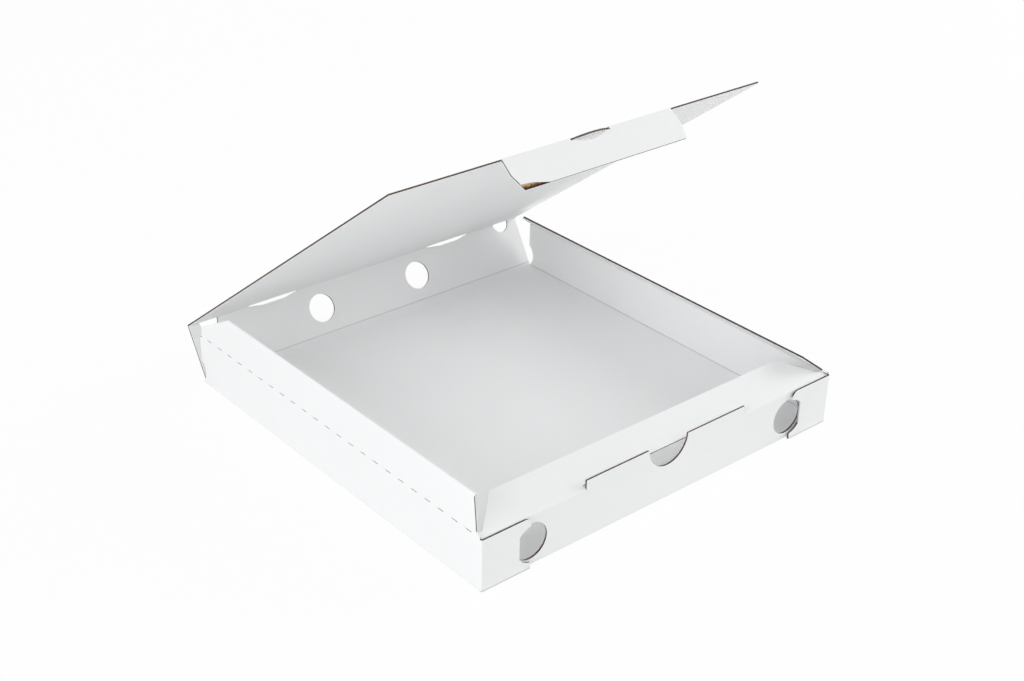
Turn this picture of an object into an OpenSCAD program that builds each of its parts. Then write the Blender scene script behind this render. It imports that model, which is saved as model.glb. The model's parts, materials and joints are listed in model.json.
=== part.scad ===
// Shallow folding box for one flat round dish, cut and folded from one sheet of fluted board.
// The tray stands on the table at z = 0, its front towards -Y, and its lid is half open.
// Every panel that turns has a full round edge on the axis of its fold.

/* [Board] */
// Thickness of the fluted board
board_t = 1.5; // [1.2:0.1:1.8]
// Gap at a fold between the round turning edge and the panel that carries it
fold_gap = 0.15; // [0.1:0.05:0.3]
// Clearance between panels that pass beside each other
side_gap = 0.4; // [0.3:0.05:0.8]

/* [Tray] */
// Outside width of the tray
tray_w = 330; // [310:1:380]
// Outside depth of the tray
tray_d = 335; // [290:1:390]
// Height of the side folds above the table
wall_h = 40.5; // [36:0.5:50]
// Depth of the round relief in the back end of a side wall
relief_depth = 5; // [3:0.5:8]
// Radius of that relief
relief_r = 11.5; // [9:0.5:14]
// Height of the centre of that relief
relief_z = 10; // [8:0.5:14]

/* [Front panel and corner flaps] */
// Setback of the front panel from the outer face of the corner flaps
panel_recess = 2.5; // [2:0.1:4]
// The front fold lies this far below the side folds
front_drop = 1.9; // [1.9:0.1:2.6]
// Length of a corner flap along the front
corner_len = 40.5; // [36:0.5:42]
// Radius of the hooked upper end of a corner flap
corner_hook_r = 5; // [3:0.5:6]
// Radius of a front vent
vent_r = 13.8; // [10:0.1:14.5]
// Distance of a front vent's centre from the side of the tray
vent_inset = 42.5; // [38:0.5:46]
// Height of the front vents' centres
vent_z = 19; // [16:0.5:21]
// Width of a front vent's outer side that a corner flap covers
vent_cover = 2.5; // [0:0.5:5]
// Radius of the finger notch
notch_r = 18.3; // [18:0.1:22]

/* [Top flaps] */
// Width of the two side flaps
flap_w = 29; // [24:0.5:34]
// Width of the front flap
front_flap_w = 28; // [22:0.5:34]
// Angle of the left flap above the tray's rim
left_angle = 87; // [70:1:95]
// Angle of the right flap above the tray's rim
right_angle = 38.5; // [25:0.5:42]
// Angle of the front flap above the tray's rim
front_angle = 20; // [10:1:40]
// Start of a side flap behind the front of the tray
flap_start = 1.8; // [1.6:0.1:4]
// Setback of a side flap's front end, next to its free corner
flap_setback = 8; // [4:0.5:10]
// Width of the ear at a side flap's free front corner
ear_w = 3; // [1:0.5:5]
// Forward reach of that ear
ear_reach = 2; // [1:0.5:3]
// Gap between a side flap's back end and the back of the tray
flap_end_gap = 2.5; // [2.1:0.1:5]
// Length of the slanted heel of the left flap
left_heel_len = 38; // [38:1:60]
// Width of the left flap at its back end
left_heel_w = 7.5; // [4:0.5:8]
// Length of the slanted heel of the right flap
right_heel_len = 14; // [14:0.5:40]
// Width of the right flap at its back end
right_heel_w = 14.5; // [6:0.5:14.5]
// Pitch of the cuts along a perforated side fold
perf_pitch = 14; // [12:0.5:20]
// Length of each of those cuts
perf_len = 6; // [4:0.5:8]
// Height of those cuts above the fold's axis
perf_h = 0.4; // [0.2:0.1:0.8]

/* [Back wall and lid] */
// Height of the lid's fold above the side folds when the box is closed
lid_lift = 4.2; // [4:0.1:6]
// Backward lean of the back wall
back_lean = 30; // [26:1:36]
// Tilt of the lid above level
lid_tilt = 37.2; // [36:0.2:60]
// Radius of a back vent
back_vent_r = 11.5; // [8:0.5:13]
// Distance of a back vent from the middle
back_vent_x = 48; // [30:1:52]
// Height of the back vents' centres along the wall
back_vent_h = 24.4; // [20:0.2:25]
// Distance of a fold slot's centre from the middle
slot_x = 87.5; // [80:0.5:95]
// Length of a fold slot
slot_len = 45; // [30:1:50]
// Reach of a fold slot to each side of the fold
slot_h = 3; // [2:0.1:4]
// Distance of an end half-moon from the middle
moon_x = 146; // [130:1:148]
// Radius of an end half-moon
moon_r = 8; // [5:0.5:9]

/* [Tuck flap and lock] */
// Width of the tuck flap at its fold
tuck_w = 149.5; // [130:0.5:152]
// Flare of each side of the tuck flap below its fold
tuck_flare = 0.5; // [0.2:0.1:1]
// Depth at which the tuck flap is widest
tuck_waist = 12; // [9:0.5:14]
// Narrowing of each side of the tuck flap from its widest to its free edge
tuck_taper = 3.5; // [2:0.5:7]
// Depth of the tuck flap
tuck_len = 24.5; // [22:0.5:32]
// Angle that the tuck flap is folded down from the lid
tuck_bend = 73; // [50:1:80]
// Width of the half-moon tab on the lid's front edge
tab_w = 33.5; // [28:0.5:36]
// Reach of the half-moon tab past the lid's front edge
tab_reach = 3.5; // [3:0.5:7]
// Clearance each side of the tuck flap in the lock slit
lock_gap = 0.3; // [0.2:0.05:0.5]
// Length of the torn strip at the tuck flap's left corner
tear_len = 21; // [10:1:30]
// Width of the torn strip
tear_w = 4.5; // [3:0.5:7]
// Depth of the torn strip into the board
tear_depth = 0.4; // [0.2:0.1:0.6]

/* [Hidden] */
$fn = 64;

half_w = tray_w / 2;
half_d = tray_d / 2;
// Radius of the round edge at a fold, and the carrying panel's distance from the axis
fold_r = board_t / 2;
fold_reach = fold_r + fold_gap;
// Extra length of a cutting tool past the board that it cuts
past = 1;

// Front panel: outer and inner face, fold height and end
panel_y = -half_d + panel_recess;
panel_in_y = panel_y + board_t;
panel_half = half_w - board_t - side_gap;
front_h = wall_h - front_drop;

// Back wall: axis of its fold, and its height up to the lid's axis
back_y = half_d - fold_r;
back_z = fold_r;
back_h = wall_h + lid_lift;
back_len = back_h - back_z;
lid_half = panel_half;

// Lid: the tuck flap hangs this far from the lid's fold, so that it drops into the slit
tuck_y_closed = panel_in_y + lock_gap + fold_r;
tuck_dist = back_y - tuck_y_closed;
lid_len = tuck_dist + fold_r;
lid_y = back_y + back_len * sin(back_lean);
lid_z = back_z + back_len * cos(back_lean);

// Lock: slit in the front flap, and the strip that stands up in front of it, level with the lid
slit_half = tuck_w / 2 + tuck_flare + side_gap;
slit_depth = fold_r + board_t + 2 * lock_gap;
strip_half = slit_half - side_gap;
strip_top = back_h + fold_r;

// Half-moon tab: a circle's segment that starts where the lid ends behind the tuck flap
tab_base = tuck_dist - fold_reach;
tab_rise = lid_len + tab_reach - tab_base;
tab_r = (tab_w * tab_w / 4 + tab_rise * tab_rise) / (2 * tab_rise);
tab_centre = tab_base + tab_rise - tab_r;
tab_half = tab_w / 2 + side_gap;

// Side flap: length of its fold and the cuts that fit along it
flap_len = tray_d - flap_start - flap_end_gap;
perf_n = floor(flap_len / perf_pitch);
perf_first = (flap_len - (perf_n - 1) * perf_pitch - perf_len) / 2;

// Quarter disc that rounds the outside of a bend, with its corner at the origin
module bend_section() {
    intersection() {
        circle(r = board_t);
        translate([-board_t, -board_t]) square(board_t);
    }
}

// Flat panel from an outline in (x, y), centred on its own plane
module panel() {
    translate([0, 0, -fold_r]) linear_extrude(board_t) children();
}

// Round edge on a fold's axis, along x from x0 to x1
module fold_edge(x0, x1) {
    translate([x0, 0, 0]) rotate([0, 90, 0]) cylinder(r = fold_r, h = x1 - x0);
}

// Upright sheet with its outline in (x, z) and its outer face at y0
module upright(y0) {
    translate([0, y0 + board_t, 0]) rotate([90, 0, 0]) linear_extrude(board_t) children();
}

// Left half of the tray's section across its width: base, bend and side wall
module wall_section() {
    translate([-half_w + board_t, 0]) square([half_w - board_t, board_t]);
    translate([-half_w + board_t, board_t]) bend_section();
    translate([-half_w, board_t]) square([board_t, wall_h - fold_reach - board_t]);
}

// Left half of the base with its side wall, the wall's back end relieved by a round cut
module side() {
    base_y = panel_in_y;
    difference() {
        translate([0, half_d, 0]) rotate([90, 0, 0]) linear_extrude(tray_d - board_t) wall_section();
        translate([-half_w + board_t, back_y - fold_reach, -past])
            cube([half_w, fold_r + fold_reach + past, board_t + 2 * past]);
        translate([-half_w + board_t, -half_d, -past])
            cube([half_w, base_y + half_d, board_t + 2 * past]);
        translate([-half_w - past, half_d + relief_r - relief_depth, relief_z])
            rotate([0, 90, 0]) cylinder(r = relief_r, h = board_t + 2 * past);
    }
}

// Outline of the left corner flap from its bend, in (x, z)
module corner_outline() {
    top = wall_h - fold_reach;
    end = -half_w + corner_len;
    start = -half_w + board_t;
    difference() {
        union() {
            translate([start, 0]) square([corner_len - board_t, top - corner_hook_r]);
            translate([start, 0]) square([corner_len - board_t - corner_hook_r, top]);
            translate([end - corner_hook_r, top - corner_hook_r]) circle(r = corner_hook_r);
        }
        translate([-half_w + vent_inset, vent_z])
            intersection() {
                circle(r = vent_r + side_gap);
                translate([vent_cover - vent_r, -vent_r - past]) square(2 * (vent_r + past));
            }
    }
}

// Left corner flap, which wraps from the side wall round the front of the tray
module corner_flap() {
    upright(-half_d) corner_outline();
    translate([-half_w + board_t, -half_d + board_t, 0])
        linear_extrude(wall_h - fold_reach) bend_section();
}

// Outline of the front panel above its bend, in (x, z)
module front_outline() {
    difference() {
        union() {
            translate([-panel_half, board_t]) square([2 * panel_half, front_h - fold_reach - board_t]);
            translate([-strip_half, board_t]) square([2 * strip_half, strip_top - board_t]);
        }
        for (s = [-1, 1])
            translate([s * (half_w - vent_inset), vent_z]) circle(r = vent_r);
        translate([0, strip_top]) circle(r = notch_r);
    }
}

// Front panel, folded up from the base behind the corner flaps
module front_panel() {
    upright(panel_y) front_outline();
    translate([-panel_half, panel_in_y, board_t])
        rotate([90, 0, 90]) linear_extrude(2 * panel_half) bend_section();
}

// Base, side walls, corner flaps and front panel: the fixed part of the sheet
module tray() {
    color([0.95, 0.95, 0.94]) {
        for (m = [0, 1])
            mirror([m, 0, 0]) {
                side();
                corner_flap();
            }
        front_panel();
    }
}

// Outline of a side flap: x runs back along its fold, y away from the fold
module side_flap_outline(heel_len, heel_w) {
    polygon([
        [0, 0],
        [flap_setback / 2, flap_setback / 4],
        [flap_setback, flap_w - ear_w],
        [flap_setback - ear_reach, flap_w],
        [flap_len - heel_len, flap_w],
        [flap_len, heel_w],
        [flap_len, 0],
    ]);
}

// Side flap with a perforated fold along x
module side_flap(heel_len, heel_w) {
    difference() {
        union() {
            panel() side_flap_outline(heel_len, heel_w);
            fold_edge(0, flap_len);
        }
        for (i = [0 : perf_n - 1])
            translate([perf_first + i * perf_pitch, -board_t, -board_t])
                cube([perf_len, board_t + perf_h, 2 * board_t]);
    }
}

// Left flap, standing nearly upright on its fold
module left_flap() {
    color([0.96, 0.96, 0.96])
        translate([-half_w + fold_r, -half_d + flap_start, wall_h])
            rotate([0, -left_angle, 0])
                mirror([0, 0, 1]) rotate([0, 0, 90]) mirror([0, 1, 0])
                    side_flap(left_heel_len, left_heel_w);
}

// Right flap, leaning in over the tray
module right_flap() {
    color([0.9, 0.91, 0.92])
        translate([half_w - fold_r, -half_d + flap_start, wall_h])
            rotate([0, right_angle, 0])
                rotate([0, 0, 90])
                    side_flap(right_heel_len, right_heel_w);
}

// Outline of the front flap, mitred at both ends and cut back along the lock slit
module front_flap_outline() {
    difference() {
        polygon([
            [-panel_half, 0],
            [panel_half, 0],
            [panel_half - front_flap_w, front_flap_w],
            [-panel_half + front_flap_w, front_flap_w],
        ]);
        translate([-slit_half, -past]) square([2 * slit_half, slit_depth + past]);
    }
}

// Front flap, folded in from the top of the front panel
module front_flap() {
    color([0.94, 0.94, 0.93])
        translate([0, panel_y + fold_r, front_h])
            rotate([front_angle, 0, 0]) {
                panel() front_flap_outline();
                fold_edge(-panel_half, -slit_half);
                fold_edge(slit_half, panel_half);
            }
}

// Lower half of a fold slot, which gapes in its middle, with the fold along x
module slot_outline() {
    polygon([
        [-slot_len / 2, past],
        [-slot_len / 2, -fold_reach],
        [-slot_len / 5, -slot_h],
        [slot_len / 4, -slot_h],
        [slot_len / 2, -fold_reach],
        [slot_len / 2, past],
    ]);
}

// Outline of the back wall, in (x, height), with its vents, fold slots and half-moons
module back_outline() {
    top = back_len - fold_reach;
    difference() {
        translate([-lid_half, 0]) square([2 * lid_half, top]);
        for (s = [-1, 1]) {
            translate([s * back_vent_x, back_vent_h - back_z]) circle(r = back_vent_r);
            translate([s * slot_x, back_len]) slot_outline();
            translate([s * moon_x, top]) circle(r = moon_r);
        }
    }
}

// Back wall, free at both ends and leaning back on its fold at the base
module back_wall() {
    color([0.88, 0.88, 0.88])
        translate([0, back_y, back_z])
            rotate([90 - back_lean, 0, 0]) {
                panel() back_outline();
                fold_edge(-lid_half, lid_half);
            }
}

// Half-moon of the tab, in the lid's flat layout, grown by a clearance
module tab_moon(grow) {
    intersection() {
        translate([0, tab_centre]) circle(r = tab_r + grow, $fn = 96);
        translate([-tab_w, tab_base]) square([2 * tab_w, tab_rise + past + grow]);
    }
}

// Outline of the lid: y runs forward from its fold
module lid_outline() {
    difference() {
        translate([-lid_half, 0]) square([2 * lid_half, lid_len]);
        translate([-slit_half, tab_base]) square([2 * slit_half, fold_r + fold_reach + past]);
        for (s = [-1, 1])
            translate([s * slot_x - slot_len / 2, -past]) square([slot_len, slot_h + past]);
    }
    tab_moon(0);
}

// Sets its children on the lid's fold, with y running forward along the lid and z out of its underside
module on_lid() {
    translate([0, lid_y, lid_z])
        rotate([-lid_tilt, 0, 0])
            rotate([180, 0, 0])
                children();
}

// Lid, half open, with a half-moon tab in the middle of its front edge
module lid() {
    color([0.9, 0.9, 0.9])
        on_lid() {
            panel() lid_outline();
            fold_edge(-lid_half, -slot_x - slot_len / 2);
            fold_edge(-slot_x + slot_len / 2, slot_x - slot_len / 2);
            fold_edge(slot_x + slot_len / 2, lid_half);
        }
}

// Outline of the tuck flap: y runs from its fold to its free edge
module tuck_outline() {
    fold_half = tuck_w / 2;
    waist_half = fold_half + tuck_flare;
    end_half = waist_half - tuck_taper;
    difference() {
        polygon([
            [-fold_half, 0],
            [fold_half, 0],
            [waist_half, tuck_waist],
            [end_half, tuck_len],
            [-end_half, tuck_len],
            [-waist_half, tuck_waist],
        ]);
        translate([0, -tuck_dist]) tab_moon(side_gap);
        translate([-tab_half, -past]) square([2 * tab_half, board_t + past]);
    }
}

// Wedge that tears the outer face away along the free edge at the left corner
module torn_corner() {
    corner_x = -tuck_w / 2 - tuck_flare;
    translate([0, 0, -fold_r - past])
        linear_extrude(tear_depth + past)
            polygon([
                [corner_x, tuck_len + past],
                [corner_x, tuck_len - tear_w],
                [corner_x + tuck_taper + tear_len / 3, tuck_len - tear_w * 0.8],
                [corner_x + tuck_taper + tear_len, tuck_len],
                [corner_x + tuck_taper + tear_len, tuck_len + past],
            ]);
}

// Tuck flap, folded down from the lid's front edge
module tuck_flap() {
    color([0.95, 0.95, 0.95])
        on_lid()
            translate([0, tuck_dist, 0])
                rotate([tuck_bend, 0, 0]) {
                    difference() {
                        panel() tuck_outline();
                        torn_corner();
                    }
                    fold_edge(-tuck_w / 2, -tab_half);
                    fold_edge(tab_half, tuck_w / 2);
                }
}

tray();
left_flap();
right_flap();
front_flap();
back_wall();
lid();
tuck_flap();
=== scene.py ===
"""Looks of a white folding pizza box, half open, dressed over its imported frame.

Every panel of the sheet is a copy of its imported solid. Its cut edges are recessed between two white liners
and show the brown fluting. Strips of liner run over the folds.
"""

import json
import logging
import math
from dataclasses import dataclass, field
from enum import Enum
from typing import Callable, Sequence

import bpy
from mathutils import Matrix, Vector

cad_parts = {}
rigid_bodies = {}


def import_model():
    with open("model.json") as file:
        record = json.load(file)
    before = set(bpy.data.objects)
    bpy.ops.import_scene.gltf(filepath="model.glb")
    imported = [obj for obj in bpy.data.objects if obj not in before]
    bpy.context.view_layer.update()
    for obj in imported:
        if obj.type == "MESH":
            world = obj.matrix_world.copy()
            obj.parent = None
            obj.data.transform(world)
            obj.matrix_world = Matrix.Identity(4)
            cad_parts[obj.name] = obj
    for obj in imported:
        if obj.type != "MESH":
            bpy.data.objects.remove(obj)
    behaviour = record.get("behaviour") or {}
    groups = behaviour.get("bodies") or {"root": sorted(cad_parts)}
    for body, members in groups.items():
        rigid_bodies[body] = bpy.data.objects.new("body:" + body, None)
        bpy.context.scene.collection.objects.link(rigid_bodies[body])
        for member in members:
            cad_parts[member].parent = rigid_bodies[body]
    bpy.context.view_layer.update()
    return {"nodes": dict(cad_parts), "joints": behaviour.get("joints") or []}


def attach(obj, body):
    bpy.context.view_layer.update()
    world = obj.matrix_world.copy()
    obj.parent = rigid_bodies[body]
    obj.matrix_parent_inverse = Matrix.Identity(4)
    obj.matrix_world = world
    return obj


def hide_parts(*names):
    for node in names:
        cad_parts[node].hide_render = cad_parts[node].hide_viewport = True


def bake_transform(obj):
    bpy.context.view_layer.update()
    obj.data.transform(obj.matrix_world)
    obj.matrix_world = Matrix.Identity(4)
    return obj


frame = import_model()
LOG = logging.getLogger("pizza_box")

Rgb = tuple[float, float, float]
Xyz = tuple[float, float, float]
Span = tuple[float, float]

X, Y, Z = Vector((1, 0, 0)), Vector((0, 1, 0)), Vector((0, 0, 1))


class Slot(Enum):
    """Order of the finishes on a board panel."""

    LINER = 0
    CORE = 1
    TORN = 2


class Fold(Enum):
    """Folds of the sheet, by the name of the joint that turns them."""

    BACK = "back_wall_fold"
    LID = "lid_fold"
    TUCK = "tuck_fold"
    LEFT = "left_flap_fold"
    RIGHT = "right_flap_fold"
    FRONT = "front_flap_fold"

    @property
    def joint(self) -> dict:
        """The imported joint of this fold."""
        return next(j for j in frame["joints"] if j["name"] == self.value)

    @property
    def axis_point(self) -> Vector:
        """A point on the fold's axis at rest."""
        return Vector(self.joint["pos_m"])

    @property
    def bodies(self) -> tuple[str, str]:
        """The panel that carries the fold and the panel that turns on it."""
        return self.joint["parent"], self.joint["child"]


@dataclass(frozen=True)
class Sheet:
    """Sizes and angles of the folded sheet, in metres and degrees."""

    board: float = 0.0015
    half_w: float = 0.165
    half_d: float = 0.1675
    panel_half: float = 0.1631
    slit_half: float = 0.07565
    tuck_half: float = 0.07475
    tab_half: float = 0.01725
    slot_span: Span = (0.065, 0.110)
    moon_span: Span = (0.1377, 0.1543)
    back_lean: float = 30.0
    lid_tilt: float = 37.2
    tuck_bend: float = 73.0
    left_angle: float = 87.0
    right_angle: float = 38.5
    front_angle: float = 20.0

    @property
    def fold_r(self) -> float:
        """Radius of the round edge at a fold."""
        return self.board / 2


SHEET = Sheet()


def turned(angle: float) -> tuple[Vector, Vector]:
    """Gives a panel's direction and the normal on its left, in the plane from front to back.

    Args:
        angle: Angle of the panel in degrees, from +Y towards +Z.

    Returns:
        The unit direction of the panel away from its fold, and its unit normal a quarter turn further.
    """
    a = math.radians(angle)
    return Vector((0, math.cos(a), math.sin(a))), Vector((0, -math.sin(a), math.cos(a)))


def deselect_all() -> None:
    """Leaves edit mode and clears the selection."""
    if bpy.context.mode != "OBJECT":
        bpy.ops.object.mode_set(mode="OBJECT")
    bpy.ops.object.select_all(action="DESELECT")


def make_active(piece: bpy.types.Object) -> None:
    """Selects one piece alone and makes it active."""
    deselect_all()
    piece.select_set(True)
    bpy.context.view_layer.objects.active = piece


def edit(piece: bpy.types.Object, mode: str) -> None:
    """Opens a piece in edit mode.

    Args:
        piece: The piece to edit.
        mode: What the operators select: VERT, EDGE or FACE.
    """
    bpy.context.tool_settings.mesh_select_mode = tuple(mode == m for m in ("VERT", "EDGE", "FACE"))
    bpy.context.view_layer.objects.active = piece
    bpy.ops.object.mode_set(mode="EDIT")


def select_faces(piece: bpy.types.Object, chosen: Callable[[bpy.types.MeshPolygon], bool]) -> int:
    """Selects faces of a piece in object mode.

    Args:
        piece: The piece, in object mode.
        chosen: Says of a face whether it is selected.

    Returns:
        The number of faces selected.
    """
    mesh = piece.data
    for group in (mesh.vertices, mesh.edges, mesh.polygons):
        group.foreach_set("select", [False] * len(group))
    count = 0
    for face in mesh.polygons:
        face.select = chosen(face)
        count += face.select
    return count


def apply_modifier(piece: bpy.types.Object, kind: str, **settings: object) -> None:
    """Adds a modifier to a piece and applies it.

    Args:
        piece: The piece.
        kind: Blender's name of the modifier's type.
        **settings: Values of the modifier.
    """
    make_active(piece)
    modifier = piece.modifiers.new(kind.title(), kind)
    for name, value in settings.items():
        setattr(modifier, name, value)
    bpy.ops.object.modifier_apply(modifier=modifier.name)


class Graph:
    """One procedural material while its nodes are put together."""

    def __init__(self, name: str) -> None:
        """Starts an empty material with a Principled shader."""
        self.material = bpy.data.materials.new(name)
        self.material.use_nodes = True
        self.tree = self.material.node_tree
        self.shader = self.tree.nodes["Principled BSDF"]
        self.coords = self.tree.nodes.new("ShaderNodeTexCoord")

    def node(self, kind: str, inputs: dict | None = None, **settings: object) -> bpy.types.ShaderNode:
        """Adds a node.

        Args:
            kind: The node's type, without Blender's prefix.
            inputs: Input names or numbers with the values or output sockets that feed them.
            **settings: Values of the node itself.

        Returns:
            The new node.
        """
        made = self.tree.nodes.new("ShaderNode" + kind)
        for name, value in settings.items():
            setattr(made, name, value)
        for name, value in (inputs or {}).items():
            self.feed(made, name, value)
        return made

    def feed(self, node: bpy.types.ShaderNode, name: str | int, value: object) -> None:
        """Links a socket into a node's input, or sets the input's value."""
        if isinstance(value, bpy.types.NodeSocket):
            self.tree.links.new(value, node.inputs[name])
        else:
            node.inputs[name].default_value = value

    def math(self, operation: str, a: object, b: object = 0.0, clamp: bool = False) -> bpy.types.NodeSocket:
        """Adds a Math node and gives its output."""
        return self.node("Math", {0: a, 1: b}, operation=operation, use_clamp=clamp).outputs[0]

    def noise(self, scale: float, detail: float) -> bpy.types.NodeSocket:
        """Adds a noise on object coordinates and gives its value."""
        inputs = {"Vector": self.coords.outputs["Object"], "Scale": scale, "Detail": detail}
        return self.node("TexNoise", inputs).outputs[0]

    def band(
        self, value: object, low: float, high: float, to_low: float, to_high: float
    ) -> bpy.types.NodeSocket:
        """Maps a value smoothly from one range to another and gives the result."""
        inputs = {0: value, 1: low, 2: high, 3: to_low, 4: to_high}
        return self.node("MapRange", inputs, interpolation_type="SMOOTHSTEP").outputs[0]

    def mix(self, factor: object, a: object, b: object) -> bpy.types.NodeSocket:
        """Mixes two colours and gives the result."""
        made = self.node("Mix", data_type="RGBA")
        for socket, value in ((made.inputs[0], factor), (made.inputs[6], a), (made.inputs[7], b)):
            if isinstance(value, bpy.types.NodeSocket):
                self.tree.links.new(value, socket)
            else:
                socket.default_value = value
        return made.outputs[2]

    def bump(self, height: bpy.types.NodeSocket, strength: float, distance: float) -> None:
        """Feeds a height into the shader's normal."""
        made = self.node("Bump", {"Height": height, "Strength": strength, "Distance": distance})
        self.feed(self.shader, "Normal", made.outputs[0])


def rgba(colour: Rgb, share: float = 1.0) -> tuple[float, float, float, float]:
    """Gives a colour with full alpha, darkened to a share of itself."""
    return colour[0] * share, colour[1] * share, colour[2] * share, 1.0


@dataclass(frozen=True)
class LinerFinish:
    """Matt white paper liner, with fibres, faint clouds and the soft ribs of the fluting beneath it, and
    where asked painted shade along a crease and painted contact shade near the floor.
    """

    name: str
    across: Xyz
    colour: Rgb = (0.970, 0.974, 0.976)
    roughness: float = 0.62
    roughness_spread: float = 0.05
    specular: float = 0.18
    pitch: float = 0.0028
    cloud_scale: float = 11.0
    cloud_share: float = 0.99
    fibre_scale: float = 1500.0
    fibre_share: float = 0.985
    rib_height: float = 0.10
    fibre_height: float = 0.02
    relief: float = 0.10
    relief_depth: float = 0.0002
    # Painted shade: a darker line in an inner crease, with its place, width and darkness.
    crease_shade_at: tuple[Vector, Vector] | None = None
    crease_shade_edge: Span = (0.0002, 0.0009)
    crease_shade_share: float = 0.76
    # Painted contact shade: the liner darker towards its bottom, up to this height and by this share.
    foot: float = 0.0
    contact_shade_share: float = 0.62

    def material(self) -> bpy.types.Material:
        """Builds the material of this liner.

        Returns:
            The finished material.
        """
        g = Graph(self.name)
        place = g.coords.outputs["Object"]
        clouds = g.noise(self.cloud_scale, 3.0)
        fibres = g.noise(self.fibre_scale, 2.0)
        cloudy = g.band(clouds, 0.35, 0.65, 0.0, 1.0)
        tone = g.mix(cloudy, rgba(self.colour, self.cloud_share), rgba(self.colour))
        tone = g.mix(g.band(fibres, 0.30, 0.50, 1.0, 0.0), tone, rgba(self.colour, self.fibre_share))
        # Painted shade along the crease.
        if self.crease_shade_at:
            tone = g.mix(self.crease_shade(g, place, *self.crease_shade_at), tone, rgba(self.colour, self.crease_shade_share))
        # Painted contact shade near the floor.
        if self.foot:
            height = g.node("SeparateXYZ", {0: place}).outputs[2]
            tone = g.mix(g.band(height, 0.0, self.foot, 1.0, 0.0), tone, rgba(self.colour, self.contact_shade_share))
        g.feed(g.shader, "Base Color", tone)
        smooth, rough = self.roughness - self.roughness_spread, self.roughness + self.roughness_spread
        g.feed(g.shader, "Roughness", g.band(clouds, 0.3, 0.7, smooth, rough))
        g.shader.inputs["Specular IOR Level"].default_value = self.specular
        along = g.node("VectorMath", {0: place, 1: self.across}, operation="DOT_PRODUCT").outputs["Value"]
        ribs = g.math("SINE", g.math("MULTIPLY", along, math.tau / self.pitch))
        ribs = g.math("MULTIPLY", ribs, self.rib_height)
        height = g.math("ADD", ribs, g.math("MULTIPLY", fibres, self.fibre_height))
        g.bump(height, self.relief, self.relief_depth)
        return g.material

    def crease_shade(
        self, g: Graph, place: bpy.types.NodeSocket, point: Vector, across: Vector
    ) -> bpy.types.NodeSocket:
        """Gives how much a point lies on the painted shade line of a crease between two panels, or on its
        mirror image.

        Args:
            g: The material in the making.
            place: Object coordinates.
            point: A point on the line, on the right.
            across: 1 for each coordinate across the line and 0 along it.

        Returns:
            1 on the line, 0 away from it.
        """
        mirrored = g.node("VectorMath", {0: place}, operation="ABSOLUTE").outputs[0]
        off = g.node("VectorMath", {0: mirrored, 1: point}, operation="SUBTRACT").outputs[0]
        off = g.node("VectorMath", {0: off, 1: across}, operation="MULTIPLY").outputs[0]
        far = g.node("VectorMath", {0: off}, operation="LENGTH").outputs["Value"]
        return g.band(far, *self.crease_shade_edge, 1.0, 0.0)


@dataclass(frozen=True)
class CoreFinish:
    """Cut edge of the board: a brown fluted paper wave between two liners, with painted shade in the hollows
    beside it.
    """

    name: str = "fluted_core"
    paper: Rgb = (0.26, 0.175, 0.13)
    # Painted shade of the voids between the flutes.
    hollow: Rgb = (0.036, 0.027, 0.023)
    swing: float = 0.33
    wave_edge: Span = (0.13, 0.21)
    grain_scale: float = 3200.0
    grain_height: float = 0.4
    relief: float = 0.5
    relief_depth: float = 0.0002
    specular: float = 0.1

    def material(self) -> bpy.types.Material:
        """Builds the material of the cut edges, on the edge's own UV map.

        Returns:
            The finished material.
        """
        g = Graph(self.name)
        split = g.node("SeparateXYZ", {0: g.node("UVMap", uv_map=BoardPanel.UV_NAME).outputs[0]})
        wave = g.math("SINE", g.math("MULTIPLY", split.outputs[0], math.tau))
        wave = g.math("MULTIPLY", wave, self.swing)
        far = g.math("ABSOLUTE", g.math("SUBTRACT", g.math("SUBTRACT", split.outputs[1], 0.5), wave))
        grain = g.noise(self.grain_scale, 3.0)
        paper = g.mix(grain, rgba(self.paper, 0.75), rgba(self.paper, 1.2))
        line = g.band(far, *self.wave_edge, 1.0, 0.0)
        # The voids beside the paper wave are painted with shade.
        g.feed(g.shader, "Base Color", g.mix(line, rgba(self.hollow), paper))
        g.feed(g.shader, "Roughness", g.band(grain, 0.3, 0.7, 0.8, 0.95))
        g.shader.inputs["Specular IOR Level"].default_value = self.specular
        height = g.math("ADD", line, g.math("MULTIPLY", grain, self.grain_height))
        g.bump(height, self.relief, self.relief_depth)
        return g.material


@dataclass(frozen=True)
class TornFinish:
    """Bare paper where the liner is torn off, paler at the tear's border and darker towards the free edge."""

    down: Xyz
    span: Span
    name: str = "torn_paper"
    pale: Rgb = (0.62, 0.47, 0.29)
    brown: Rgb = (0.25, 0.13, 0.055)
    dark: Rgb = (0.045, 0.024, 0.012)
    shred: float = 1.6
    shred_scale: float = 900.0
    relief: float = 0.6
    relief_depth: float = 0.0004
    specular: float = 0.1

    def material(self) -> bpy.types.Material:
        """Builds the material of the torn corner.

        Returns:
            The finished material.
        """
        g = Graph(self.name)
        place = g.coords.outputs["Object"]
        shreds = g.noise(self.shred_scale, 4.0)
        along = g.node("VectorMath", {0: place, 1: self.down}, operation="DOT_PRODUCT").outputs["Value"]
        depth = g.band(along, *self.span, 0.0, 1.0)
        ragged = g.math("MULTIPLY", g.math("SUBTRACT", shreds, 0.5), self.shred)
        mixed = g.math("ADD", depth, ragged, clamp=True)
        tone = g.mix(g.band(mixed, 0.0, 0.45, 0.0, 1.0), rgba(self.pale), rgba(self.brown))
        tone = g.mix(g.band(mixed, 0.45, 0.9, 0.0, 1.0), tone, rgba(self.dark))
        g.feed(g.shader, "Base Color", tone)
        g.feed(g.shader, "Roughness", g.band(shreds, 0.2, 0.8, 0.75, 0.95))
        g.shader.inputs["Specular IOR Level"].default_value = self.specular
        g.bump(shreds, self.relief, self.relief_depth)
        return g.material


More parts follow.
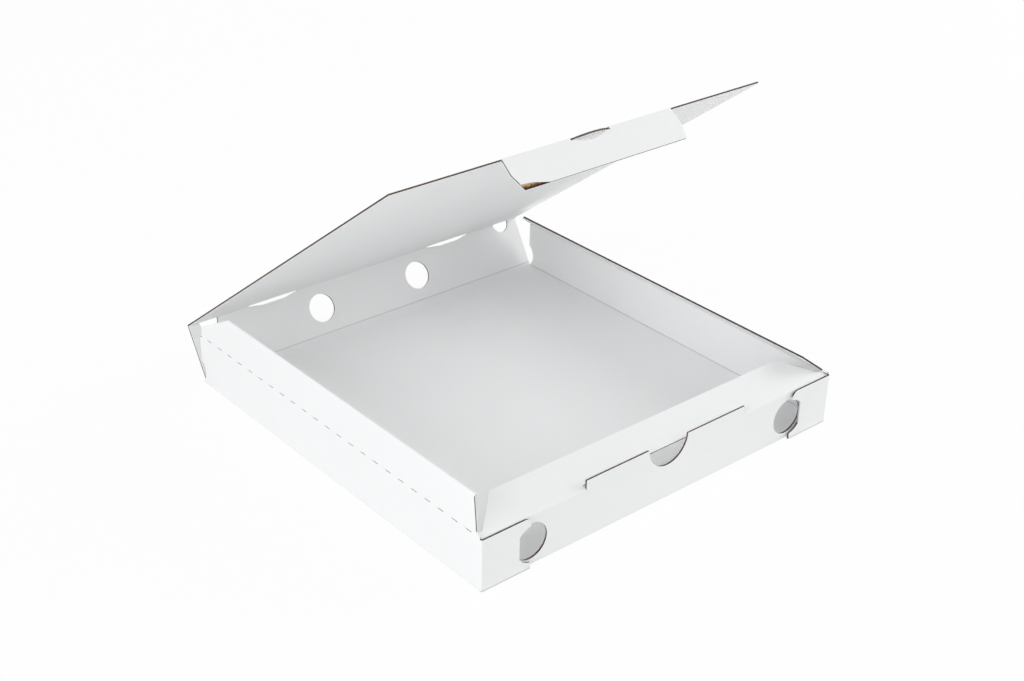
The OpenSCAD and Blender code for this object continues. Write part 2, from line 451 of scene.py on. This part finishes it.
@dataclass
class BoardPanel:
    """A flat panel of the sheet that turns on a fold.

    Its solid is copied, its cut edges are recessed between the liners, and it stands for the solid.
    """

    UV_NAME = "edge_uv"
    MERGE, FLAT, SHARP = 2e-6, math.radians(0.4), math.radians(30)

    node: str
    normal: Vector
    flutes: Vector
    fold: Fold
    liner: LinerFinish
    core: bpy.types.Material
    torn: bpy.types.Material
    lip: float = 0.00013
    recess: float = 0.00022
    piece: bpy.types.Object = field(init=False)

    def build(self) -> bpy.types.Object:
        """Makes the panel's piece and dresses it.

        Returns:
            The finished piece, riding on its body.
        """
        self.piece = self.copy_solid()
        self.dress()
        self.recess_cut_edges()
        self.map_cut_edges()
        make_active(self.piece)
        bpy.ops.object.shade_smooth_by_angle(angle=self.SHARP)
        apply_modifier(self.piece, "WEIGHTED_NORMAL", mode="FACE_AREA", weight=100, keep_sharp=True)
        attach(self.piece, self.node)
        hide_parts(self.node)
        LOG.info("%s: %d faces", self.piece.name, len(self.piece.data.polygons))
        return self.piece

    def copy_solid(self) -> bpy.types.Object:
        """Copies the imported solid, merges its loose triangles and clears the edges inside flat faces.

        Returns:
            The copy, at the origin and riding on nothing.
        """
        make_active(frame["nodes"][self.node])
        bpy.ops.object.duplicate(linked=False)
        piece = bpy.context.active_object
        piece.name = self.node + "_board"
        piece.parent = None
        piece.matrix_world = Matrix.Identity(4)
        for key in list(piece.keys()):
            del piece[key]
        make_active(piece)
        edit(piece, "VERT")
        bpy.ops.mesh.select_all(action="SELECT")
        bpy.ops.mesh.remove_doubles(threshold=self.MERGE)
        bpy.ops.mesh.dissolve_limited(angle_limit=self.FLAT)
        bpy.ops.object.mode_set(mode="OBJECT")
        return piece

    def dress(self) -> None:
        """Gives the piece its finishes."""
        mesh = self.piece.data
        mesh.materials.clear()
        for material in (self.liner.material(), self.core, self.torn):
            mesh.materials.append(material)
        mesh.polygons.foreach_set("material_index", [Slot.LINER.value] * len(mesh.polygons))

    def is_cut(self, face: bpy.types.MeshPolygon) -> bool:
        """Says whether a face is a cut edge of the board.

        Args:
            face: A face of the piece.

        Returns:
            True for a face across the board's thickness, unless it is the round edge at the fold.
        """
        if abs(face.normal.dot(self.normal)) > 0.35:
            return False
        axis = Vector(self.fold.joint["axis"])
        if abs(face.normal.dot(axis)) > 0.6:
            return True
        return self.from_fold(face.center) > SHEET.fold_r * 1.02

    def from_fold(self, point: Vector) -> float:
        """Gives a point's distance from the axis of the panel's fold."""
        axis = Vector(self.fold.joint["axis"])
        off = point - self.fold.axis_point
        return (off - axis * off.dot(axis)).length

    def recess_cut_edges(self) -> None:
        """Sets the brown core a little back between the two liners along every cut edge."""
        if not select_faces(self.piece, self.is_cut):
            return
        edit(self.piece, "FACE")
        bpy.ops.mesh.inset(thickness=self.lip, depth=-self.recess, use_boundary=True, use_even_offset=True)
        self.piece.active_material_index = Slot.CORE.value
        bpy.ops.object.material_slot_assign()
        bpy.ops.object.mode_set(mode="OBJECT")

    def board_axes(self, face: bpy.types.MeshPolygon) -> tuple[Vector, Vector, Vector]:
        """Gives the board's directions at a cut edge.

        Args:
            face: A face of the core.

        Returns:
            The board's normal, the direction of its flutes, and a point on its middle plane.
        """
        return self.normal, self.flutes, self.fold.axis_point

    def map_cut_edges(self) -> None:
        """Writes the cut edges' UV map: waves across the flutes, and height through the board."""
        mesh = self.piece.data
        layer = mesh.uv_layers.new(name=self.UV_NAME)
        for face in mesh.polygons:
            if face.material_index != Slot.CORE.value:
                continue
            normal, flutes, middle = self.board_axes(face)
            across = normal.cross(flutes)
            for loop in face.loop_indices:
                off = mesh.vertices[mesh.loops[loop].vertex_index].co - middle
                through = off.dot(normal) / SHEET.board + 0.5
                layer.data[loop].uv = off.dot(across) / self.liner.pitch, through


@dataclass
class Tray(BoardPanel):
    """Base, side walls, corner flaps and front panel: the part of the sheet that stays folded.

    Its fields say where the walls start and end, from the middle of the base.
    """

    rim_z: float = 0.030
    back_ends_y: float = 0.155
    front_y: float = -0.1625
    panel_y: float = -0.16425
    panel_back_y: float = -0.1630
    fold_y: float = -0.1655
    corner_y: float = -0.1660
    side_x: float = 0.1634
    side_in_x: float = 0.163
    foot_z: float = 0.002
    vent_z: float = 0.010
    fold_z: Span = (0.037, 0.039)

    def is_cut(self, face: bpy.types.MeshPolygon) -> bool:
        """Says whether a face of the tray is a cut edge of the board.

        Args:
            face: A face of the piece.

        Returns:
            True for the tops of the walls, the rims of the front panel and corner flaps, and the back ends.
        """
        n, c = face.normal, face.center
        if n.z > 0.9 and c.z > self.rim_z and not self.is_folded(c):
            return True
        if n.y > 0.3 and c.y > self.back_ends_y:
            return True
        in_front = c.y < self.front_y and abs(c.x) < self.side_x and abs(n.y) < 0.3
        underside = n.z < -0.5 and c.z < self.foot_z
        pressed = abs(n.x) > 0.95 and c.y < self.corner_y and c.z > self.vent_z
        return in_front and not underside and not pressed and not (n.z > 0.9 and self.is_folded(c))

    def is_folded(self, point: Vector) -> bool:
        """Says whether a point on a wall's top lies under one of the flaps' folds."""
        low, high = self.fold_z
        on_side = abs(point.x) > self.side_x and point.y > self.corner_y
        return on_side or (point.y > self.fold_y and low < point.z < high)

    def board_axes(self, face: bpy.types.MeshPolygon) -> tuple[Vector, Vector, Vector]:
        """Gives the board's directions at a cut edge of one of the tray's walls.

        Args:
            face: A face of the core.

        Returns:
            The board's normal, the direction of its flutes, and a point on its middle plane.
        """
        c = face.center
        half = SHEET.fold_r
        if c.y < self.corner_y:
            return Y, X, Y * (half - SHEET.half_d)
        if c.y < self.panel_back_y:
            return Y, Z, Y * self.panel_y
        if abs(c.x) > self.side_in_x:
            return X, Y, X * math.copysign(SHEET.half_w - half, c.x)
        return Z, Y, Z * half


@dataclass
class LitEdgeFlap(BoardPanel):
    """Side flap whose long free edge is rounded and left white over its core: the rounding is shape, the
    white is painted light.
    """

    edge_round: float = 0.0005
    end_facing: float = -0.4

    def dress(self) -> None:
        """Gives the piece its finishes and rounds its long free edge."""
        super().dress()
        mesh = self.piece.data
        rim = {key for face in mesh.polygons if self.is_lit_edge(face) for key in face.edge_keys}
        select_faces(self.piece, lambda face: False)
        for edge in mesh.edges:
            low, high = (mesh.vertices[v].co for v in edge.vertices)
            edge.select = edge.key in rim and abs((high - low).normalized().dot(self.normal)) < 0.5
        edit(self.piece, "EDGE")
        bpy.ops.mesh.bevel(offset=self.edge_round, segments=3, affect="EDGES")
        bpy.ops.object.mode_set(mode="OBJECT")

    def is_cut(self, face: bpy.types.MeshPolygon) -> bool:
        """Says whether a face belongs to the flap's open front end or to a cut along its fold."""
        at_end = face.normal.y < self.end_facing
        return super().is_cut(face) and (at_end or self.from_fold(face.center) < SHEET.board)

    def is_lit_edge(self, face: bpy.types.MeshPolygon) -> bool:
        """Says whether a face belongs to the flap's long free edge, which is left white as painted light."""
        return super().is_cut(face) and not self.is_cut(face)


@dataclass
class TuckFlap(BoardPanel):
    """Tuck flap of the lid, with the white liner torn off one corner."""

    tear_depth: float = 0.0004
    slack: float = 1e-5

    def dress(self) -> None:
        """Gives the piece its finishes, with bare paper in the tear."""
        super().dress()
        for face in self.piece.data.polygons:
            if self.is_torn(face):
                face.material_index = Slot.TORN.value

    def is_torn(self, face: bpy.types.MeshPolygon) -> bool:
        """Says whether a face belongs to the tear.

        Args:
            face: A face of the piece.

        Returns:
            True for the tear's floor and for its low border.
        """
        places = [self.piece.data.vertices[v].co - self.fold.axis_point for v in face.vertices]
        above = max(place.dot(self.normal) for place in places) + SHEET.fold_r
        return self.from_fold(face.center) > SHEET.board and self.slack < above < self.tear_depth + self.slack

    def is_cut(self, face: bpy.types.MeshPolygon) -> bool:
        """Says whether a face is a cut edge of the flap, outside the tear."""
        return super().is_cut(face) and not self.is_torn(face)


@dataclass
class FoldStrip:
    """Strip of liner over a fold, which rides on one of the two panels that it joins or stays where it is
    made.
    """

    SAME_PLACE, SHARP = 1e-5, math.radians(40)

    name: str
    fold: Fold
    profile: Sequence[Vector]
    along: Vector
    start: float
    length: float
    ease: tuple[Vector, Vector]
    liner: bpy.types.Material
    carrier: str | None = None
    thickness: float = 0.00005
    piece: bpy.types.Object = field(init=False)

    def build(self) -> bpy.types.Object:
        """Makes the strip and hangs it on its body, or leaves it in place over the fold.

        Returns:
            The finished strip.
        """
        self.piece = self.first_leg()
        self.extrude_profile()
        apply_modifier(self.piece, "SOLIDIFY", thickness=self.thickness, offset=0.0)
        make_active(self.piece)
        bpy.ops.object.shade_smooth_by_angle(angle=self.SHARP)
        self.piece.data.materials.append(self.liner)
        if self.carrier:
            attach(self.piece, self.carrier)
        else:
            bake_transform(self.piece)
        LOG.info("%s: %d faces", self.name, len(self.piece.data.polygons))
        return self.piece

    def first_leg(self) -> bpy.types.Object:
        """Adds the strip's first leg as a plane between the first two points of its profile.

        Returns:
            The plane, with its place in its mesh.
        """
        deselect_all()
        first, second = self.profile[0], self.profile[1]
        reach = second - first
        bpy.ops.mesh.primitive_plane_add(size=1.0)
        piece = bpy.context.active_object
        piece.name = self.name
        centre = (first + second) / 2 + self.along * (self.start + self.length / 2)
        columns = (self.along * self.length, reach, self.along.cross(reach).normalized())
        piece.matrix_world = Matrix.Translation(centre) @ Matrix(columns).transposed().to_4x4()
        bpy.ops.object.transform_apply(location=True, rotation=True, scale=True)
        return piece

    def extrude_profile(self) -> None:
        """Extrudes the strip's free edge from point to point of its profile."""
        mesh = self.piece.data
        for group in (mesh.vertices, mesh.edges, mesh.polygons):
            group.foreach_set("select", [False] * len(group))
        end = self.profile[1]
        for vertex in mesh.vertices:
            off = vertex.co - end
            vertex.select = (off - self.along * off.dot(self.along)).length < self.SAME_PLACE
        edit(self.piece, "VERT")
        for here, there in zip(self.profile[1:], self.profile[2:]):
            bpy.ops.mesh.extrude_region_move(TRANSFORM_OT_translate={"value": there - here})
        bpy.ops.object.mode_set(mode="OBJECT")


@dataclass(frozen=True)
class Leg:
    """One panel as a fold's strip meets it: its direction away from the fold and its face's normal."""

    away: Vector
    face: Vector

    def turned_over(self) -> "Leg":
        """Gives the same panel with its other face."""
        return Leg(self.away, -self.face)


# Where a strip eases off a panel before the bend, where a crease's bead rises, falls and ends, and a strip's
# height over the board, all in metres from the fold or the panel's face.
EASE = 0.0012, 0.0005
BEAD_AT = 0.0004, 0.0008, 0.0013
LIFT = 0.00005


def wrap_profile(fold: Fold, first: Leg, second: Leg, reach: float, steps: int) -> list[Vector]:
    """Gives the profile of a strip that wraps the round outside of a fold.

    Args:
        fold: The fold.
        first: The carrying panel.
        second: The turning panel.
        reach: Length of the strip on each panel.
        steps: Number of steps round the bend.

    Returns:
        Points across the fold, on the fold's own axis point.
    """
    centre, radius = fold.axis_point, SHEET.fold_r + LIFT
    turn = first.face.rotation_difference(second.face)
    points = [centre + first.face * radius + first.away * d for d in (reach, *EASE)]
    for i in range(steps + 1):
        arm = first.face.copy()
        arm.rotate(Matrix.Rotation(turn.angle * i / steps, 3, turn.axis))
        points.append(centre + arm * radius)
    points += [centre + second.face * radius + second.away * d for d in (*reversed(EASE), reach)]
    return points


def cove_profile(
    fold: Fold, first: Leg, second: Leg, reach: float, cove: Span, steps: int, bead: float = 0.0
) -> list[Vector]:
    """Gives the profile of a strip that fills the inside of a fold with a soft hollow.

    Args:
        fold: The fold.
        first: The carrying panel, with the normal of its inner face.
        second: The turning panel, with the normal of its inner face.
        reach: Length of the strip on each panel past the hollow.
        cove: Distance from the fold at which the hollow leaves each panel.
        steps: Number of steps along the hollow.
        bead: Height of the crease's bead on the turning panel.

    Returns:
        Points across the fold, on the fold's own axis point.
    """
    centre, radius = fold.axis_point, SHEET.fold_r + LIFT
    low = centre + first.face * radius + first.away * cove[0]
    high = centre + second.face * radius + second.away * cove[1]
    half = math.pi / 2 - first.away.angle(second.away) / 2
    bisector = (first.away + second.away).normalized()
    corner = centre + bisector * (radius / math.cos(half))
    points = [low + first.away * reach]
    for i in range(steps + 1):
        t = i / steps
        points.append(low * (1 - t) ** 2 + corner * 2 * t * (1 - t) + high * t**2)
    rise, fall, end = BEAD_AT
    if bead:
        crest = (rise, bead), (fall, bead), (end, 0.0)
        points += [high + second.away * d + second.face * h for d, h in crest]
    points.append(high + second.away * (reach + end))
    return points


class Box:
    """The whole box: its panels and the strips over its folds."""

    # CREASE_UP: height above the back fold of the painted crease shade line.
    CREASE_UP = 0.0028
    TEAR_FROM, TEAR_TO = 0.0205, 0.0245
    NARROW_COVE, WIDE_COVE, FLOOR_COVE = (0.0016, 0.0016), (0.0022, 0.0022), (0.010, 0.0022)

    def __init__(self) -> None:
        """Works out the panels' directions at rest and makes the shared finishes."""
        self.back_dir, self.back_in = turned(90 - SHEET.back_lean)
        self.lid_dir, self.lid_in = turned(180 - SHEET.lid_tilt)
        self.tuck_dir, self.tuck_in = turned(180 - SHEET.lid_tilt + SHEET.tuck_bend)
        self.front_dir, self.front_out = turned(SHEET.front_angle)
        a, b = math.radians(SHEET.left_angle), math.radians(SHEET.right_angle)
        self.left_dir, self.left_out = X * math.cos(a) + Z * math.sin(a), Z * math.cos(a) - X * math.sin(a)
        self.right_dir, self.right_out = Z * math.sin(b) - X * math.cos(b), X * math.sin(b) + Z * math.cos(b)
        self.make_finishes()

    def make_finishes(self) -> None:
        """Makes the finishes of the panels and strips."""
        # Painted shade lines in the inner creases: floor with side walls on the tray, floor with back wall on
        # the back fold's strips.
        side_crease_shade = Vector((SHEET.half_w - SHEET.board, 0.0, SHEET.board)), X + Z
        crease = Fold.BACK.axis_point + self.back_dir * self.CREASE_UP + self.back_in * SHEET.fold_r
        across = tuple(X)
        self.across_x = LinerFinish("white_liner", across)
        self.side_liner = LinerFinish("white_liner_side", tuple(Z))
        # The tray's liner also gets painted contact shade along its bottom edge.
        self.tray_liner = LinerFinish("white_liner_tray_painted_shade", across, crease_shade_at=side_crease_shade, foot=0.0014)
        self.strip_liner = LinerFinish("white_liner_fold", across).material()
        self.back_strip_liner = LinerFinish("white_liner_painted_crease_shade", across, crease_shade_at=(crease, Y + Z)).material()
        self.core = CoreFinish().material()
        tuck_start = Fold.TUCK.axis_point.dot(self.tuck_dir)
        tear = tuck_start + self.TEAR_FROM, tuck_start + self.TEAR_TO
        self.torn = TornFinish(tuple(self.tuck_dir), tear).material()

    def panels(self) -> list[BoardPanel]:
        """Lists the panels in the order of the sheet.

        Returns:
            The panels, not yet built.
        """
        side, end = self.side_liner, self.across_x
        inner = {"core": self.core, "torn": self.torn}
        thin = {**inner, "lip": 0.00006}
        return [
            Tray("tray", Z, Y, Fold.BACK, self.tray_liner, **thin),
            # The left flap's long free edge keeps the white liner: painted light.
            LitEdgeFlap("left_flap", self.left_out, Y, Fold.LEFT, side, **inner, lip=0.0004),
            BoardPanel("right_flap", self.right_out, Y, Fold.RIGHT, side, **inner),
            BoardPanel("front_flap", self.front_out, self.front_dir, Fold.FRONT, end, **thin),
            BoardPanel("back_wall", self.back_in, self.back_dir, Fold.BACK, end, **inner),
            BoardPanel("lid", self.lid_in, self.lid_dir, Fold.LID, end, **inner, lip=0.00023),
            TuckFlap("tuck_flap", self.tuck_in, self.tuck_dir, Fold.TUCK, end, **inner, lip=0.0003),
        ]

    def strip(
        self,
        name: str,
        fold: Fold,
        profile: list[Vector],
        span: Span,
        along: Vector = X,
        carrier: str | None = None,
    ) -> FoldStrip:
        """Sets up a strip over a fold.

        Args:
            name: Name of the strip.
            fold: The fold that it covers.
            profile: Its points across the fold.
            span: Its start and end along the fold, from the fold's axis point.
            along: Direction of the fold.
            carrier: The panel that it rides on, or none if it rides on neither.

        Returns:
            The strip, not yet built.
        """
        ease = (profile[1], profile[-2])
        start, end = span
        liner = self.back_strip_liner if fold is Fold.BACK else self.strip_liner
        return FoldStrip(name, fold, profile, along, start, end - start, ease, liner, carrier)

    def rim_strips(self) -> list[FoldStrip]:
        """Lists the strips along the perforated side folds.

        Returns:
            A low lip outside each fold, which leaves the cuts open as slits, and a soft corner inside it.
        """
        proud, drop, rise, reach = 0.00002, 0.002, 0.00004, 0.0012
        lip_span, inner_span = (-0.1657, 0.165), (-0.1605, 0.1645)
        made = []
        for label, fold, out, away, face in (
            ("left", Fold.LEFT, -X, self.left_dir, self.left_out),
            ("right", Fold.RIGHT, X, self.right_dir, self.right_out),
        ):
            foot = fold.axis_point + out * (SHEET.fold_r + proud)
            lip = [foot - Z * drop, foot + Z * rise]
            made.append(self.strip(f"{label}_fold_lip", fold, lip, lip_span, Y, "tray"))
            inner = cove_profile(fold, Leg(-Z, -out), Leg(away, -face), reach, self.NARROW_COVE, 5)
            made.append(self.strip(f"{label}_fold_inside", fold, inner, inner_span, Y))
        return made

    def strips(self) -> list[FoldStrip]:
        """Lists the strips over the folds.

        Returns:
            The strips, not yet built.
        """
        half, slit, tuck, tab = SHEET.panel_half, SHEET.slit_half, SHEET.tuck_half, SHEET.tab_half
        tick, outer_reach, inner_reach = 0.0006, 0.004, 0.0012
        front_spans = (-half, -slit), (slit - tick, half)
        tuck_spans = (-tuck, -tab), (tab, tuck)
        front_legs = Leg(-Z, -Y), Leg(self.front_dir, self.front_out)
        tuck_legs = Leg(-self.lid_dir, -self.lid_in), Leg(self.tuck_dir, -self.tuck_in)
        back_legs = Leg(-Y, -Z), Leg(self.back_dir, -self.back_in)
        lid_legs = Leg(-self.back_dir, -self.back_in), Leg(self.lid_dir, -self.lid_in)
        made = self.rim_strips()
        for label, fold, legs, spans, cove, bead in (
            ("front_fold", Fold.FRONT, front_legs, front_spans, self.NARROW_COVE, 0.0),
            ("tuck_fold", Fold.TUCK, tuck_legs, tuck_spans, self.NARROW_COVE, 0.0),
            ("back_fold", Fold.BACK, back_legs, ((-half, half),), self.FLOOR_COVE, 0.0003),
            ("lid_fold", Fold.LID, lid_legs, self.lid_spans(), self.WIDE_COVE, 0.0002),
        ):
            outside = wrap_profile(fold, *legs, outer_reach, 6)
            inner_legs = [leg.turned_over() for leg in legs]
            inside = cove_profile(fold, *inner_legs, inner_reach, cove, 7, bead)
            for number, span in enumerate(spans, start=1):
                made.append(self.strip(f"{label}_outside_{number}", fold, outside, span))
                made.append(self.strip(f"{label}_inside_{number}", fold, inside, span))
        return made

    @staticmethod
    def lid_spans() -> list[Span]:
        """Gives the stretches of the lid's fold between its slots and half-moons."""
        (slot_from, slot_to), (moon_from, moon_to) = SHEET.slot_span, SHEET.moon_span
        side = [(slot_to, moon_from), (moon_to, SHEET.panel_half)]
        return [(-b, -a) for a, b in reversed(side)] + [(-slot_from, slot_from)] + side

    def build(self) -> None:
        """Builds every panel and every strip."""
        for part in [*self.panels(), *self.strips()]:
            part.build()


@dataclass(frozen=True)
class PhotoCamera:
    """Camera at the photograph's place, fitted to the box in it, in metres, degrees and pixels."""

    place: Xyz = (-0.680854, -0.787969, 0.623698)
    azimuth: float = 40.864
    elevation: float = 28.765
    roll: float = -1.2775
    focal_px: float = 1607.2
    frame_px: float = 1024.0
    sensor: float = 36.0

    def build(self) -> bpy.types.Object:
        """Adds the camera and makes it the scene's own.

        Returns:
            The camera.
        """
        az, el, roll = (math.radians(a) for a in (self.azimuth, self.elevation, self.roll))
        forward = Vector((math.sin(az) * math.cos(el), math.cos(az) * math.cos(el), -math.sin(el)))
        level = forward.cross(Z).normalized()
        down = forward.cross(level)
        right = level * math.cos(roll) + down * math.sin(roll)
        up = level * math.sin(roll) - down * math.cos(roll)
        deselect_all()
        bpy.ops.object.camera_add()
        camera = bpy.context.active_object
        camera.name = "photo_camera"
        facing = Matrix((right, up, -forward)).transposed().to_4x4()
        camera.matrix_world = Matrix.Translation(self.place) @ facing
        camera.data.sensor_width = self.sensor
        camera.data.lens = self.focal_px * self.sensor / self.frame_px
        bpy.context.scene.camera = camera
        return camera


@dataclass(frozen=True)
class Lamp:
    """Soft square lamp that looks at the box."""

    name: str
    place: Xyz
    size: float
    power: float
    colour: Rgb = (1.0, 1.0, 1.0)
    aim: Xyz = (0.0, 0.0, 0.05)

    def build(self) -> bpy.types.Object:
        """Adds the lamp.

        Returns:
            The lamp, turned to the box.
        """
        deselect_all()
        bpy.ops.object.light_add(type="AREA", location=self.place)
        lamp = bpy.context.active_object
        lamp.name = self.name
        beam = Vector(self.aim) - Vector(self.place)
        lamp.rotation_euler = beam.to_track_quat("-Z", "Y").to_euler()
        lamp.data.size = self.size
        lamp.data.energy = self.power
        lamp.data.color = self.colour
        return lamp


@dataclass(frozen=True)
class Studio:
    """White studio: a pale floor that keeps a soft shadow, an even surround and soft lamps."""

    surround: Rgb = (0.99, 1.0, 1.0)
    surround_level: float = 0.59
    shadow_share: float = 0.05
    floor_size: float = 30.0
    floor_drop: float = 0.0004
    floor_grey: Rgb = (0.94, 0.94, 0.94)
    floor_pale: Rgb = (0.95, 0.95, 0.95)
    lamps: tuple[Lamp, ...] = (
        Lamp("left_lamp", (-2.4, -0.5, 0.9), 1.6, 22.0, (0.98, 0.99, 1.0)),
        Lamp("right_lamp", (2.5, -0.9, 0.7), 1.6, 22.0),
        Lamp("right_high_lamp", (2.2, -0.6, 1.7), 1.6, 13.0),
    )

    def build(self) -> None:
        """Adds the floor, the surround and the lamps."""
        self.world()
        self.floor()
        for lamp in self.lamps:
            lamp.build()

    @staticmethod
    def seen(tree: bpy.types.NodeTree) -> bpy.types.NodeSocket:
        """Gives 1 for what the camera sees, also in gloss and glass, and 0 for the light on the box."""
        path = tree.nodes.new("ShaderNodeLightPath")
        seen = path.outputs["Is Camera Ray"]
        for ray in ("Is Glossy Ray", "Is Transmission Ray"):
            either = tree.nodes.new("ShaderNodeMath")
            either.operation = "MAXIMUM"
            tree.links.new(seen, either.inputs[0])
            tree.links.new(path.outputs[ray], either.inputs[1])
            seen = either.outputs[0]
        return seen

    def world(self) -> None:
        """Sets a white background that lights the box evenly from all round."""
        world = bpy.data.worlds.new("studio")
        world.use_nodes = True
        bpy.context.scene.world = world
        tree = world.node_tree
        light = tree.nodes["Background"]
        light.inputs["Color"].default_value = rgba(self.surround)
        light.inputs["Strength"].default_value = self.surround_level
        white = tree.nodes.new("ShaderNodeBackground")
        white.inputs["Color"].default_value = rgba((1.0, 1.0, 1.0))
        mix = tree.nodes.new("ShaderNodeMixShader")
        tree.links.new(self.seen(tree), mix.inputs[0])
        tree.links.new(light.outputs[0], mix.inputs[1])
        tree.links.new(white.outputs[0], mix.inputs[2])
        tree.links.new(mix.outputs[0], tree.nodes["World Output"].inputs["Surface"])

    def floor(self) -> bpy.types.Object:
        """Adds the floor, white to the camera apart from a share of the box's shadow.

        Returns:
            The floor.
        """
        deselect_all()
        bpy.ops.mesh.primitive_plane_add(size=self.floor_size, location=(0, 0, -self.floor_drop))
        floor = bpy.context.active_object
        floor.name = "studio_floor"
        g = Graph("studio_floor")
        g.shader.inputs["Roughness"].default_value = 1.0
        g.shader.inputs["Specular IOR Level"].default_value = 0.0
        tone = g.mix(g.noise(0.8, 2.0), rgba(self.floor_grey), rgba(self.floor_pale))
        g.feed(g.shader, "Base Color", tone)
        glow = g.node("Emission")
        seen = g.math("MULTIPLY", self.seen(g.tree), 1.0 - self.shadow_share)
        mix = g.node("MixShader", {0: seen, 1: g.shader.outputs[0], 2: glow.outputs[0]})
        g.tree.links.new(mix.outputs[0], g.tree.nodes["Material Output"].inputs["Surface"])
        floor.data.materials.append(g.material)
        return floor


def main() -> None:
    """Builds the box, the camera and the studio."""
    logging.basicConfig(level=logging.INFO, format="%(name)s: %(message)s")
    bpy.context.scene.view_settings.view_transform = "Standard"
    Box().build()
    PhotoCamera().build()
    Studio().build()
    deselect_all()


if __name__ == "__main__":
    main()
